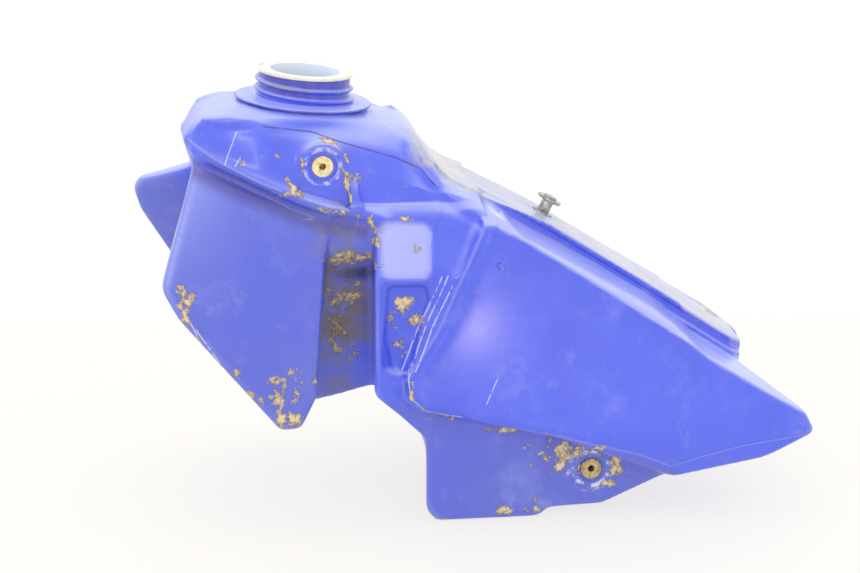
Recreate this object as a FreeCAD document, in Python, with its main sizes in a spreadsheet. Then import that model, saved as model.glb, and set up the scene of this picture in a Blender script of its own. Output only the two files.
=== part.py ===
"""A moulded plastic motorcycle fuel tank with its brass inserts and seat hook, in millimetres.

+X points to the bike's rear, +Y to its right-hand side and +Z up. The tank stands on the flat
bottoms of its two lower lobes at z = 0, with x = 0 and y = 0 at the middle of its footprint.
"""
import FreeCAD, Part
import Sketcher
import os
from FreeCAD import Placement, Rotation, Vector

doc = FreeCAD.newDocument("fuel_tank")

SIZES = [
    # shell
    ("wall", 4.0, "thickness of the moulded wall"),
    ("half_length", 240.0, "middle of the footprint to the tail tips and to the right ear's corner"),
    ("half_width", 124.0, "centre plane to the knee panels' widest line"),
    ("span", 300.0, "length of a prism that only its other views bound"),
    ("tunnel_half", 36.0, "half the width of the channel over the frame"),
    # filler neck
    ("neck_x", -119.0, "neck's axis at its base"),
    ("neck_z", 290.0, "height of the neck's base on its axis"),
    ("neck_lean", 5.0, "degrees that the neck leans to the rear"),
    ("neck_height", 21.0, "base disc's underside to the rim"),
    ("neck_core", 33.5, "radius at the roots of the cap's thread"),
    ("neck_thread", 36.0, "radius over the thread's crests"),
    ("thread_pitch", 7.0, "height of one turn of the cap's thread"),
    ("thread_wire", 1.6, "radius of a thread crest's round section"),
    ("neck_bore", 29.5, "radius of the moulded mouth"),
    ("base_disc", 49.5, "radius of the disc at the neck's base"),
    ("base_disc_thick", 2.0, "thickness of that disc above the head"),
    ("ring_bore", 25.5, "clear radius of the filler ring"),
    ("ring_lip", 34.5, "radius of the filler ring's lip"),
    ("ring_lip_thick", 2.0, "height of the lip on the rim"),
    ("ring_depth", 16.0, "how far the ring goes down inside the mouth"),
    # threaded inserts
    ("insert_bore", 2.5, "radius of an M6 insert's threaded hole"),
    ("insert_depth", 13.0, "depth of the threaded hole"),
    ("insert_body", 5.5, "radius of an insert's knurled body"),
    ("insert_length", 16.0, "length of an insert"),
    ("insert_flange", 7.5, "radius of an insert's flange"),
    ("insert_flange_thick", 2.0, "thickness of that flange"),
    ("insert_boss", 11.5, "radius of the plastic boss that holds an insert"),
    ("insert_pad", 17.0, "radius of the flat pad round a shroud insert"),
    ("upper_insert_x", -112.0, "upper shroud inserts"),
    ("upper_insert_y", 69.0, "upper shroud inserts' flange face, from the centre plane"),
    ("upper_insert_z", 256.5, "upper shroud inserts"),
    ("lower_insert_x", 77.0, "lower shroud inserts"),
    ("lower_insert_y", 104.0, "lower shroud inserts' flange face, from the centre plane"),
    ("lower_insert_z", 35.0, "lower shroud inserts"),
    # seat hook
    ("hook_x", 57.5, "seat hook's axis at the seat rest"),
    ("hook_z", 200.6, "height of the seat rest at the hook"),
    ("hook_lean", 29.0, "degrees that the hook leans to the rear, square to the seat rest"),
    ("hook_insert_body", 6.5, "radius of the hook's insert"),
    ("hook_insert_length", 18.0, "length of the hook's insert"),
    ("base_washer_radius", 8.0, "radius of the washer under the collar"),
    ("base_washer_thick", 1.5, "thickness of that washer"),
    ("collar_radius", 4.5, "radius of the hook's collar"),
    ("collar_height", 9.0, "height of the collar"),
    ("disc_radius", 9.5, "radius of the hook's disc"),
    ("disc_thick", 2.0, "thickness of the disc"),
    ("bolt_radius", 3.0, "radius of the M6 bolt's shank"),
    ("bolt_head", 5.0, "radius of the bolt's button head"),
    ("bolt_head_height", 1.6, "height of that head"),
    ("bolt_socket", 2.0, "radius of the head's socket"),
    # tap flange
    ("tap_x", 4.0, "fuel tap's opening in the left lower lobe"),
    ("tap_y", -74.0, "fuel tap's opening"),
    ("tap_bore", 8.5, "radius of the opening"),
    ("tap_spacing", 34.0, "distance between the tap's two inserts"),
    # lengths that follow from the ones above
    ("ring_sleeve", 29.5, "outer radius of the filler ring's sleeve, pressed into the mouth"),
    ("neck_root", 12.0, "how far the neck's tube runs down into the head"),
    ("boss_depth", 20.0, "depth of an insert's boss"),
    ("hook_boss_depth", 22.0, "depth of the hook insert's boss"),
    ("hook_bore_depth", 15.0, "depth of the hook insert's threaded hole"),
    ("bolt_clear", 3.05, "radius of the holes that the hook's bolt passes"),
    ("bolt_reach", 25.0, "length of the hook's bolt under its head"),
    ("socket_floor", 0.6, "height of the socket's floor in the bolt's head"),
    ("pad_clear", 6.0, "depth of the clear space over an insert's flange"),
]

sheet = doc.addObject("Spreadsheet::Sheet", "sizes")
for row, (alias, value, note) in enumerate(SIZES, start=1):
    sheet.set(f"A{row}", alias)
    sheet.set(f"B{row}", str(value))
    sheet.set(f"C{row}", note)
    sheet.setAlias(f"B{row}", alias)
doc.recompute()


def size(alias):
    return float(sheet.get(alias))


# ---------------------------------------------------------------- outlines
# Each lobe is what its side, plan and front outlines have in common. A side outline holds
# (x, z), a half plan holds (x, distance from the centre plane) and a half front outline holds
# (distance from the centre plane, z). The half outlines are mirrored in the centre plane.

SPINE_SIDE = [
    (-203, 252), (-208, 270), (-195, 286), (-167, 294), (-42, 274), (-29, 252), (-14, 236),
    (3, 219), (57, 200.5), (206, 104), (202, 90), (184, 80), (-60, 186), (-190, 226),
]
SPINE_PLAN = [
    (-215, 20), (-195, 28), (-60, 40), (-20, 36), (10, 27), (57, 28), (120, 34), (190, 50),
    (201, 36), (208, 14),
]

HEAD_SIDE = [
    (-202, 256), (-208, 270), (-195, 286), (-167, 294), (-42, 276), (-29, 252), (-14, 236),
    (6, 221), (6, 192), (-77, 214), (-108, 223), (-129, 230), (-158, 243), (-191, 255),
]
# The head is lofted through sections that slope down to the rear: under the lip, at the lip, at
# the shoulder, at the edge of the top and near its crown. Each has the height of its plane at
# x = 0, the plane's drop per millimetre of x, and a half plan.
HEAD_SECTIONS = [
    (150, 0.24, [(-206, 8), (-199, 24), (-184, 36), (-156, 56), (-126, 66), (-106, 70), (10, 68)]),
    (193, 0.30, [(-206, 24), (-200, 40), (-188, 52), (-156, 70), (-126, 79), (-106, 82), (10, 79)]),
    (260, 0.17, [(-208, 14), (-203, 27), (-188, 40), (-156, 52), (-126, 57), (-100, 59), (10, 54)]),
    (267, 0.15, [(-210, 6), (-204, 14), (-190, 25), (-156, 40), (-126, 44), (-106, 45), (10, 44)]),
    (274, 0.15, [(-212, 2), (-205, 4), (-191, 8), (-156, 16), (-126, 20), (-106, 20), (10, 18)]),
]

FLANGE_SIDE = [
    (-81, 232), (-81, 97), (-61, 80), (-45, 65), (-40, 50), (100, 50), (136, 60), (60, 170),
    (20, 214), (0, 232),
]
FLANGE_PLAN = [(-66, 20), (-82, 112), (150, 112), (150, 20)]
FLANGE_FRONT = [(78, 240), (83, 216), (102, 178), (105, 110), (108, 90), (106, 0)]
LOWER_SIDE = [
    (-44, 74), (-44, 10), (-36, 0), (38, 0), (46, 5), (86, 6), (136, 28), (136, 60), (100, 74),
]
LOWER_PLAN = [(-26, 10), (-45, 112), (150, 112), (150, 10)]
LOWER_FRONT = [(108, 90), (106, 0), (106, -10)]

KNEE_SIDE = [
    (0, 222), (129, 145), (160, 118), (232, 74), ("half_length", 59), (201, 41), (136, 28), (51, 64),
    (-49, 88), (-62, 99), (-60, 112), (-35, 150),
]
KNEE_PLAN = [(-70, "half_width"), (136, "half_width"), (250, 117), (234, 103), (200, 52), (196, 10)]
KNEE_FRONT = [(96, 240), (99, 222), ("half_width", 60), (112, 26), (112, 0)]

EAR_BACK = [(-148, 76), (-133, 76), (-121, 97), (-112, 193), (-104, 246), (-150, 256)]
LEFT_EAR_SIDE = EAR_BACK + [(-195, 260), (-200, 255), (-229, 179), (-218, 159)]
RIGHT_EAR_SIDE = EAR_BACK + [
    (-196, 258), (-196, 237), (-235, 221), ("-half_length", 211), (-235, 193), (-208, 149),
]
# An ear's outer face is ruled between a line under the head's lip and its lower front edge.
# Each corner is (x, distance from the centre plane, z), and the slab is thinner at the front.
EAR_TOP_LINE = [(-199, 38, 258), (-109, 80, 224)]
EAR_LOW_LINE = [(-232, 112, 176), (-121, 118, 44)]
EAR_THICKNESS = [20, 36]
EAR_OVERRUN = 0.2

BRIDGE_SIDE = [
    (-116, 246), (-118, 188), (-160, 150), (-130, 84), (-119, 80), (-72, 91), (-60, 120), (-40, 240),
]
BRIDGE_FRONT = [(78, 250), (78, 193), (66, 181), (60, 150), (60, 60)]

TUNNEL_SIDE = [
    (-260, 222), (-190, 226), (-60, 186), (184, 80), (260, 47), (260, -40), (-260, -40),
]
EXHAUST_SIDE = [(-90, -10), (-90, 120), (-46, 120), (-20, 92), (0, 60), (2, 8), (8, -10)]

WINDOW_SIDE = [(-76, 178), (-41, 178), (-44, 162), (-64, 112), (-74, 116)]
WINDOW_DEEP = 98
LOWER_STEP_SIDE = [(44, -10), (44, 66), (51, 64), (136, 28), (150, 20), (150, -10)]
LOWER_STEP_DEEP = 102
INSERT_PAD_SIDE = [
    (-129, 257), (-124, 268), (-112, 273), (-100, 268), (-95, 257), (-93, 226), (-131, 236),
]
THREAD_TURNS = 3


# ---------------------------------------------------------------- helpers

VIEWS = {
    "side": (Rotation(Vector(1, 0, 0), 90), Vector(0, 1, 0)),
    "plan": (Rotation(), Vector(0, 0, 1)),
    "front": (Rotation(Vector(1, 1, 1), 120), Vector(1, 0, 0)),
}
ROUNDED = 0


def minus(value):
    """A size's opposite, whether it is a number or the name of a cell."""
    return f"-{value}" if isinstance(value, str) else -value


def half(points):
    """The whole symmetrical outline of a half plan."""
    return [(x, minus(w)) for x, w in points] + [(x, w) for x, w in reversed(points)]


def half_front(points):
    """The whole symmetrical outline of a half front view."""
    return [(minus(w), z) for w, z in points] + [(w, z) for w, z in reversed(points)]


def place_vertex(sketch, edge, kind, value):
    """Sets one coordinate of an edge's start, from a number or from a cell's name."""
    if not isinstance(value, str):
        if value == 0:
            axis = -2 if kind == "DistanceX" else -1
            sketch.addConstraint(Sketcher.Constraint("PointOnObject", edge, 1, axis))
        elif value < 0:
            sketch.addConstraint(Sketcher.Constraint(kind, edge, 1, -1, 1, -value))
        else:
            sketch.addConstraint(Sketcher.Constraint(kind, -1, 1, edge, 1, value))
        return
    alias = value.lstrip("-")
    ends = (edge, 1, -1, 1) if value.startswith("-") else (-1, 1, edge, 1)
    index = sketch.addConstraint(Sketcher.Constraint(kind, *ends, size(alias)))
    sketch.setExpression(f"Constraints[{index}]", f"sizes.{alias}")


def number(value):
    """A coordinate's value, whether it is a number or the name of a cell."""
    if not isinstance(value, str):
        return float(value)
    return -size(value[1:]) if value.startswith("-") else size(value)


def outline_sketch(name, view, points):
    """A closed sketch of straight lines in one view, with every corner dimensioned."""
    sketch = doc.addObject("Sketcher::SketchObject", name)
    sketch.Placement = Placement(Vector(), VIEWS[view][0])
    corners = [Vector(number(a), number(b), 0) for a, b in points]
    for start, end in zip(corners, corners[1:] + corners[:1]):
        sketch.addGeometry(Part.LineSegment(start, end))
    for edge, (across, up) in enumerate(points):
        following = (edge + 1) % len(points)
        sketch.addConstraint(Sketcher.Constraint("Coincident", edge, 2, following, 1))
        place_vertex(sketch, edge, "DistanceX", across)
        place_vertex(sketch, edge, "DistanceY", up)
    return sketch


def moved_outline(name, sketch, offset):
    """A sketch's outline moved outwards by an expression, with rounded corners."""
    moved = doc.addObject("Part::Offset2D", name)
    moved.Source = sketch
    moved.Join = ROUNDED
    moved.setExpression("Value", offset)
    return moved


def extruded(name, base, view, length, symmetric=True):
    prism = doc.addObject("Part::Extrusion", name)
    prism.Base = base
    prism.DirMode = "Custom"
    prism.Dir = VIEWS[view][1]
    prism.Symmetric = symmetric
    prism.Solid = True
    prism.setExpression("LengthFwd", length)
    return prism


def combined(kind, name, shapes):
    """A Part::MultiFuse or Part::MultiCommon of some objects."""
    result = doc.addObject(kind, name)
    result.Shapes = shapes
    return result


def difference(name, base, tool):
    result = doc.addObject("Part::Cut", name)
    result.Base = base
    result.Tool = tool
    return result


def lobe(name, side, plan=None, front=None):
    """What the outlines of one lobe have in common: its outer solid and its inner one."""
    views = {"side": side}
    if plan:
        views["plan"] = half(plan)
    if front:
        views["front"] = half_front(front)
    outer = []
    inner = []
    for view, points in views.items():
        sketch = outline_sketch(f"{name}_{view}", view, points)
        inset = moved_outline(f"{name}_{view}_inset", sketch, "-sizes.wall")
        outer.append(extruded(f"{name}_{view}_prism", sketch, view, "2 * sizes.span"))
        inner.append(extruded(f"{name}_{view}_inset_prism", inset, view, "2 * sizes.span"))
    if len(views) == 1:
        return outer[0], inner[0]
    solid = combined("Part::MultiCommon", f"{name}_lobe", outer)
    hollow = combined("Part::MultiCommon", f"{name}_hollow", inner)
    return solid, hollow


def beyond(start, end, share):
    """The point on a line, as far past its start as a share of its length."""
    return start - (end - start) * share


def ear_slab(name, side, inset):
    """The warped slab that an ear's side outline is cut from, flaring out to the front."""
    top, low = ([Vector(x, side * w, z) for x, w, z in line] for line in (EAR_TOP_LINE, EAR_LOW_LINE))
    sections = []
    for line, other in ((top, low), (low, top)):
        ends = [beyond(a, b, EAR_OVERRUN) for a, b in zip(line, other)]
        corners = [beyond(ends[0], ends[1], EAR_OVERRUN), beyond(ends[1], ends[0], EAR_OVERRUN)]
        skin = Vector(0, -side * inset, 0)
        back = [Vector(0, -side * (thick - inset), 0) for thick in EAR_THICKNESS]
        loop = [corners[0] + skin, corners[1] + skin, corners[1] + back[1], corners[0] + back[0]]
        sections.append(Part.makePolygon(loop + loop[:1]))
    slab = doc.addObject("Part::Feature", name)
    slab.Shape = Part.makeLoft(sections, True, True)
    return slab


def head_loft(name, inset):
    """The head's lofted block, before its side outline trims it."""
    sections = []
    for height, drop, half_plan in HEAD_SECTIONS:
        thinner = [(x, max(w - inset, w / 4)) for x, w in half_plan]
        points = [Vector(x, y, height - drop * x) for x, y in half(thinner)]
        sections.append(Part.makePolygon(points + points[:1]))
    block = doc.addObject("Part::Feature", name)
    block.Shape = Part.makeLoft(sections, True, True)
    return block


def head():
    """The head's outer solid and its inner one."""
    sketch = outline_sketch("head_side", "side", HEAD_SIDE)
    inset = moved_outline("head_inset", sketch, "-sizes.wall")
    outer = extruded("head_prism", sketch, "side", "2 * sizes.span")
    inner = extruded("head_inset_prism", inset, "side", "2 * sizes.span")
    slanted_wall = 1.2 * size("wall")
    solid = combined("Part::MultiCommon", "head_lobe", [outer, head_loft("head_block", 0)])
    hollow = combined(
        "Part::MultiCommon", "head_hollow", [inner, head_loft("head_inner_block", slanted_wall)]
    )
    return solid, hollow


def ear(name, side, outline):
    """One ear's outer solid and its inner one."""
    sketch = outline_sketch(f"{name}_side", "side", outline)
    inset = moved_outline(f"{name}_inset", sketch, "-sizes.wall")
    outer = extruded(f"{name}_prism", sketch, "side", "2 * sizes.span")
    inner = extruded(f"{name}_inset_prism", inset, "side", "2 * sizes.span")
    slab = ear_slab(f"{name}_slab", side, 0)
    thin_slab = ear_slab(f"{name}_thin_slab", side, size("wall"))
    solid = combined("Part::MultiCommon", f"{name}_lobe", [outer, slab])
    hollow = combined("Part::MultiCommon", f"{name}_hollow", [inner, thin_slab])
    return solid, hollow


def pocket(name, side_points, depth_w, right):
    """A side outline cut into one flank, down to a distance from the centre plane."""
    sketch = outline_sketch(f"{name}_side", "side", side_points)
    walled = moved_outline(f"{name}_walled", sketch, "sizes.wall")
    direction = 1 if right else -1
    cuts = []
    for suffix, base, inward in (("cut", sketch, 0.0), ("keep", walled, size("wall"))):
        prism = extruded(f"{name}_{suffix}", base, "side", "sizes.span", symmetric=False)
        prism.Dir = Vector(0, direction, 0)
        prism.Placement = Placement(Vector(0, direction * (depth_w - inward), 0), Rotation())
        cuts.append(prism)
    return cuts


def channel(name, side_points):
    """The open channel over the frame: what is cut away, and what the cavity stays clear of."""
    sketch = outline_sketch(f"{name}_side", "side", side_points)
    walled = moved_outline(f"{name}_walled", sketch, "sizes.wall")
    cut = extruded(f"{name}_cut", sketch, "side", "2 * sizes.tunnel_half")
    keep = extruded(f"{name}_keep", walled, "side", "2 * sizes.tunnel_half + 2 * sizes.wall")
    return [cut, keep]


def cylinder(name, radius, height, placement):
    post = doc.addObject("Part::Cylinder", name)
    post.setExpression("Radius", radius)
    post.setExpression("Height", height)
    post.Placement = placement
    return post


def along(axis, point):
    """A placement whose local Z runs along an axis from a point."""
    return Placement(point, Rotation(Vector(0, 0, 1), axis))


def raised(placement, height):
    """A placement moved along its own Z."""
    return placement.multiply(Placement(Vector(0, 0, height), Rotation()))


# ---------------------------------------------------------------- where the fittings sit

NECK = Placement(
    Vector(size("neck_x"), 0, size("neck_z")), Rotation(Vector(0, 1, 0), size("neck_lean"))
)
HOOK = Placement(
    Vector(size("hook_x"), 0, size("hook_z")), Rotation(Vector(0, 1, 0), size("hook_lean"))
)


def flank(side, level):
    """The outer face of a shroud insert's flange: side is -1 on the left and 1 on the right."""
    x, w, z = (size(f"{level}_insert_{axis}") for axis in "xyz")
    return along(Vector(0, side, 0), Vector(x, side * w, z))


INSERTS = {
    "upper_shroud_insert_left": flank(-1, "upper"),
    "upper_shroud_insert_right": flank(1, "upper"),
    "lower_shroud_insert_left": flank(-1, "lower"),
    "lower_shroud_insert_right": flank(1, "lower"),
}
for end, direction in (("front", -1), ("rear", 1)):
    spot = Vector(size("tap_x") + direction * size("tap_spacing") / 2, size("tap_y"), 0)
    INSERTS[f"tap_insert_{end}"] = along(Vector(0, 0, -1), spot)


# ---------------------------------------------------------------- sub-parts

def fill_profile(sketch, points):
    """Draws a turned part's half section, with its corners bound to the cells."""
    corners = [Vector(number(a), number(b), 0) for a, b in points]
    for start, end in zip(corners, corners[1:] + corners[:1]):
        sketch.addGeometry(Part.LineSegment(start, end))
    for edge, (across, up) in enumerate(points):
        following = (edge + 1) % len(points)
        sketch.addConstraint(Sketcher.Constraint("Coincident", edge, 2, following, 1))
        place_vertex(sketch, edge, "DistanceX", across)
        place_vertex(sketch, edge, "DistanceY", up)


def spin(body, profile, name):
    """Turns a half section about the sketch's own vertical axis."""
    turned = body.newObject("PartDesign::Revolution", name)
    turned.Profile = profile
    turned.ReferenceAxis = (profile, ["V_Axis"])
    turned.Angle = 360
    body.Tip = turned


def turned_part(name, points, placement):
    """A PartDesign body turned from one half section."""
    body = doc.addObject("PartDesign::Body", name)
    plane = next(f for f in body.Origin.OriginFeatures if f.Role == "XZ_Plane")
    profile = body.newObject("Sketcher::SketchObject", f"{name}_profile")
    profile.AttachmentSupport = [(plane, "")]
    profile.MapMode = "FlatFace"
    fill_profile(profile, points)
    spin(body, profile, f"{name}_turned")
    body.Placement = placement
    return body


def threaded_insert(name, placement):
    """A brass insert with a flange and a blind M6 hole, its outer face at local z = 0."""
    points = [
        ("insert_bore", 0), ("insert_flange", 0), ("insert_flange", "-insert_flange_thick"),
        ("insert_body", "-insert_flange_thick"), ("insert_body", "-insert_length"),
        (0, "-insert_length"), (0, "-insert_depth"), ("insert_bore", "-insert_depth"),
    ]
    return turned_part(name, points, placement)


def filler_ring():
    """The pale ring pressed into the neck, whose lip lies on the neck's rim."""
    points = [
        ("ring_bore", "-ring_depth"), ("ring_sleeve", "-ring_depth"), ("ring_sleeve", 0),
        ("ring_lip", 0), ("ring_lip", "ring_lip_thick"), ("ring_bore", "ring_lip_thick"),
    ]
    return turned_part("filler_neck_ring", points, raised(NECK, size("neck_height")))


def seat_hook():
    """The stack on the seat rest: insert, washer, collar, disc and the bolt through them."""
    foot = size("base_washer_thick")
    top = foot + size("collar_height")
    head = top + size("disc_thick")
    stack = {
        "seat_hook_insert": ([
            ("bolt_clear", 0), ("hook_insert_body", 0),
            ("hook_insert_body", "-hook_insert_length"), (0, "-hook_insert_length"),
            (0, "-hook_bore_depth"), ("bolt_clear", "-hook_bore_depth"),
        ], 0),
        "seat_hook_base_washer": (
            ring_section("bolt_clear", "base_washer_radius", "base_washer_thick"), 0),
        "seat_hook_collar": (ring_section("bolt_clear", "collar_radius", "collar_height"), foot),
        "seat_hook_disc": (ring_section("bolt_clear", "disc_radius", "disc_thick"), top),
        "seat_hook_bolt": ([
            (0, "-bolt_reach"), ("bolt_radius", "-bolt_reach"), ("bolt_radius", 0),
            ("bolt_head", 0), ("bolt_head", "bolt_head_height"),
            ("bolt_socket", "bolt_head_height"), ("bolt_socket", "socket_floor"),
            (0, "socket_floor"),
        ], head),
    }
    return [
        turned_part(name, points, raised(HOOK, height))
        for name, (points, height) in stack.items()
    ]


def ring_section(inner, outer, height):
    return [(inner, 0), (outer, 0), (outer, height), (inner, height)]


def neck_solids():
    """The neck's tube, its thread's crests and the disc at its base, each a closed solid."""
    base = raised(NECK, -size("neck_root"))
    tube = cylinder("neck_tube", "sizes.neck_core", "sizes.neck_height + sizes.neck_root", base)
    disc = cylinder(
        "neck_disc", "sizes.base_disc", "sizes.base_disc_thick + sizes.neck_root / 2",
        raised(NECK, -size("neck_root") / 2),
    )
    solids = [tube, disc]
    for turn in range(THREAD_TURNS):
        crest = doc.addObject("Part::Torus", f"thread_crest_{turn}")
        crest.setExpression("Radius1", "sizes.neck_thread - sizes.thread_wire")
        crest.setExpression("Radius2", "sizes.thread_wire")
        height = size("neck_height") - size("thread_wire") - turn * size("thread_pitch")
        crest.Placement = raised(NECK, height)
        solids.append(crest)
    return solids


def neck_mouth():
    """The straight hole through the neck into the tank."""
    depth = "sizes.neck_height + 2 * sizes.neck_root"
    return cylinder("neck_mouth", "sizes.neck_bore", depth, raised(NECK, -2 * size("neck_root")))


def bosses():
    """The plastic that the shell has round each insert, reaching into the cavity."""
    posts = []
    for name, placement in INSERTS.items():
        inward = raised(placement, -size("boss_depth"))
        posts.append(cylinder(f"{name}_boss", "sizes.insert_boss", "sizes.boss_depth", inward))
    inward = raised(HOOK, -size("hook_boss_depth"))
    posts.append(cylinder("hook_boss", "sizes.insert_boss", "sizes.hook_boss_depth", inward))
    return posts


def insert_pads():
    """The flat round pads that the shroud inserts' flanges lie flush with."""
    pads = []
    for name, placement in INSERTS.items():
        if "shroud" in name:
            inward = raised(placement, -size("insert_length"))
            pads.append(cylinder(f"{name}_pad", "sizes.insert_pad", "sizes.insert_length", inward))
    return pads


def insert_seats():
    """The spaces that the inserts fill in the shell."""
    seats = []
    for name, placement in INSERTS.items():
        inward = raised(placement, -size("insert_length"))
        seats.append(cylinder(f"{name}_seat", "sizes.insert_body", "sizes.insert_length", inward))
        step = raised(placement, -size("insert_flange_thick"))
        seats.append(cylinder(f"{name}_rebate", "sizes.insert_flange", "sizes.pad_clear", step))
    inward = raised(HOOK, -size("hook_insert_length"))
    seats.append(
        cylinder("hook_seat", "sizes.hook_insert_body", "sizes.hook_insert_length", inward)
    )
    return seats


def tap_opening():
    """The fuel tap's hole through the floor of the left lower lobe."""
    spot = Placement(Vector(size("tap_x"), size("tap_y"), -size("wall")), Rotation())
    return cylinder("tap_opening", "sizes.tap_bore", "4 * sizes.wall", spot)


def tank_shell():
    """The hollow shell with its neck, bosses, recesses and seats."""
    lobes = [
        lobe("spine", SPINE_SIDE, plan=SPINE_PLAN),
        head(),
        lobe("flange", FLANGE_SIDE, plan=FLANGE_PLAN, front=FLANGE_FRONT),
        lobe("lower", LOWER_SIDE, plan=LOWER_PLAN, front=LOWER_FRONT),
        lobe("knee", KNEE_SIDE, plan=KNEE_PLAN, front=KNEE_FRONT),
        lobe("bridge", BRIDGE_SIDE, front=BRIDGE_FRONT),
        ear("left_ear", -1, LEFT_EAR_SIDE),
        ear("right_ear", 1, RIGHT_EAR_SIDE),
    ]
    spaces = [
        channel("tunnel", TUNNEL_SIDE),
        pocket("exhaust", EXHAUST_SIDE, 0, True),
    ]
    for suffix, right in (("left", False), ("right", True)):
        spaces.append(pocket(f"window_{suffix}", WINDOW_SIDE, WINDOW_DEEP, right))
        spaces.append(pocket(f"step_{suffix}", LOWER_STEP_SIDE, LOWER_STEP_DEEP, right))
        spaces.append(
            pocket(f"insert_pad_{suffix}", INSERT_PAD_SIDE, size("upper_insert_y"), right)
        )
    outers = [outer for outer, inner in lobes]
    solid = combined("Part::MultiFuse", "all_lobes", outers + insert_pads())
    cuts = combined("Part::MultiFuse", "all_spaces", [cut for cut, keep in spaces])
    outside = difference("outside", solid, cuts)
    hollow = combined("Part::MultiFuse", "all_hollows", [inner for outer, inner in lobes])
    kept = combined("Part::MultiFuse", "kept_clear", [keep for cut, keep in spaces] + bosses())
    inside = difference("cavity", hollow, kept)
    walls = difference("walls", outside, inside)
    with_neck = combined("Part::MultiFuse", "walls_and_neck", [walls] + neck_solids())
    holes = combined("Part::MultiFuse", "holes", insert_seats() + [neck_mouth(), tap_opening()])
    return difference("tank_shell", with_neck, holes)


def build():
    nodes = [tank_shell(), filler_ring()]
    nodes += [threaded_insert(name, placement) for name, placement in INSERTS.items()]
    nodes += seat_hook()
    doc.recompute()
    for thing in doc.Objects:
        if "Invalid" in thing.State or "Error" in thing.State:
            raise RuntimeError(f"{thing.Name} failed: {thing.State}")
    os.makedirs("parts", exist_ok=True)
    for node in nodes:
        node.Label = node.Name
        if node.Shape.isNull() or not node.Shape.isValid():
            raise RuntimeError(f"{node.Name} has no valid shape")
        box = node.Shape.BoundBox
        print(f"{node.Name:28s} {len(node.Shape.Solids)} solids {node.Shape.Volume / 1000:9.2f} ml "
              f"x {box.XMin:.1f}..{box.XMax:.1f} y {box.YMin:.1f}..{box.YMax:.1f} "
              f"z {box.ZMin:.1f}..{box.ZMax:.1f}")
        node.Shape.exportStep(os.path.join("parts", f"{node.Name}.step"))
    print(f"fuel space {doc.getObject('cavity').Shape.Volume / 1e6:.2f} litres")


build()
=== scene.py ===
"""Looks of a moulded plastic fuel tank, built on the CAD frame. Helpers work in millimetres."""
import math
import bmesh
import bpy
import numpy as np
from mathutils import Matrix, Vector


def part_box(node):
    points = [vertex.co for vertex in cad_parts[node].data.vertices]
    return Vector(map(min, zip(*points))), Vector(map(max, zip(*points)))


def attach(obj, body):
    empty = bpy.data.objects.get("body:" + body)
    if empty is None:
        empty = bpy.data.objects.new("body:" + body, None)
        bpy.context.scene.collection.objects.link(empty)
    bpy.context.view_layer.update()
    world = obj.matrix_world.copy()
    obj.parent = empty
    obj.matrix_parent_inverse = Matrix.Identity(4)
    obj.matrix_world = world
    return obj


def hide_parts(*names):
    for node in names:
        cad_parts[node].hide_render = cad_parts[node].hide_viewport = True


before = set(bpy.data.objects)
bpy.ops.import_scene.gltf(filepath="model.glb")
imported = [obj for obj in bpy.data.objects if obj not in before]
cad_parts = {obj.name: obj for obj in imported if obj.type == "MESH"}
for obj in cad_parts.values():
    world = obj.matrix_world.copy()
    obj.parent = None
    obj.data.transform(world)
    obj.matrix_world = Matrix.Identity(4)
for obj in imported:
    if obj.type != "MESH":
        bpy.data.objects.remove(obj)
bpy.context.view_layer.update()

import openvdb as vdb
from mathutils import Vector

MM = 0.001
VOXEL = 1.9
MARGIN = 8
NECK_BASE = np.array([-119.0, 0.0, 290.0])
NECK_LEAN = math.radians(5)
NECK_UP = np.array([math.sin(NECK_LEAN), 0.0, math.cos(NECK_LEAN)])
NECK_RIM = 21.0
LEFT, RIGHT = -1, 1

low, high = (np.array(corner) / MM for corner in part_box("tank_shell"))
first_cell = np.floor(low / VOXEL).astype(int) - MARGIN
cells = np.ceil(high / VOXEL).astype(int) + MARGIN - first_cell
axes = [(first_cell[i] + np.arange(cells[i])).astype(np.float32) * VOXEL for i in range(3)]
X, Y, Z = np.meshgrid(*axes, indexing="ij", sparse=True)


# ---------------------------------------------------------------- distance fields

def smoothstep(low_edge, high_edge, value):
    t = np.clip((value - low_edge) / (high_edge - low_edge), 0, 1)
    return t * t * (3 - 2 * t)


def mesh_arrays(obj):
    mesh = obj.data
    mesh.calc_loop_triangles()
    points = np.empty(len(mesh.vertices) * 3, np.float32)
    mesh.vertices.foreach_get("co", points)
    corners = np.empty(len(mesh.loop_triangles) * 3, np.int32)
    mesh.loop_triangles.foreach_get("vertices", corners)
    return points.reshape(-1, 3) / MM, corners.reshape(-1, 3)


def signed_field(points, triangles):
    transform = vdb.createLinearTransform(voxelSize=VOXEL)
    grid = vdb.FloatGrid.createLevelSetFromPolygons(
        points, triangles=triangles, transform=transform, halfWidth=3.0)
    field = np.empty(tuple(cells), np.float32)
    grid.copyToArray(field, ijk=tuple(int(i) for i in first_cell))
    return field


def cylinder(centre, axis, radius, bottom, top):
    """Signed distance to a capped cylinder that runs along an axis from bottom to top."""
    dx, dy, dz = X - centre[0], Y - centre[1], Z - centre[2]
    along = dx * axis[0] + dy * axis[1] + dz * axis[2]
    across = np.sqrt(np.maximum(dx * dx + dy * dy + dz * dz - along * along, 0))
    return np.maximum(across - radius, np.maximum(bottom - along, along - top))


def flood(solid):
    """Cells that the outside air reaches."""
    air = np.zeros_like(solid)
    air[0], air[-1], air[:, 0], air[:, -1], air[:, :, 0], air[:, :, -1] = (True,) * 6
    air &= ~solid
    count = 0
    while air.sum() != count:
        count = air.sum()
        for axis in range(3):
            view = np.moveaxis(air, axis, 0)
            wall = np.moveaxis(solid, axis, 0)
            for order in (range(1, len(view)), range(len(view) - 2, -1, -1)):
                step = -1 if order.step > 0 else 1
                for i in order:
                    view[i] |= view[i + step] & ~wall[i]
    return air


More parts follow.
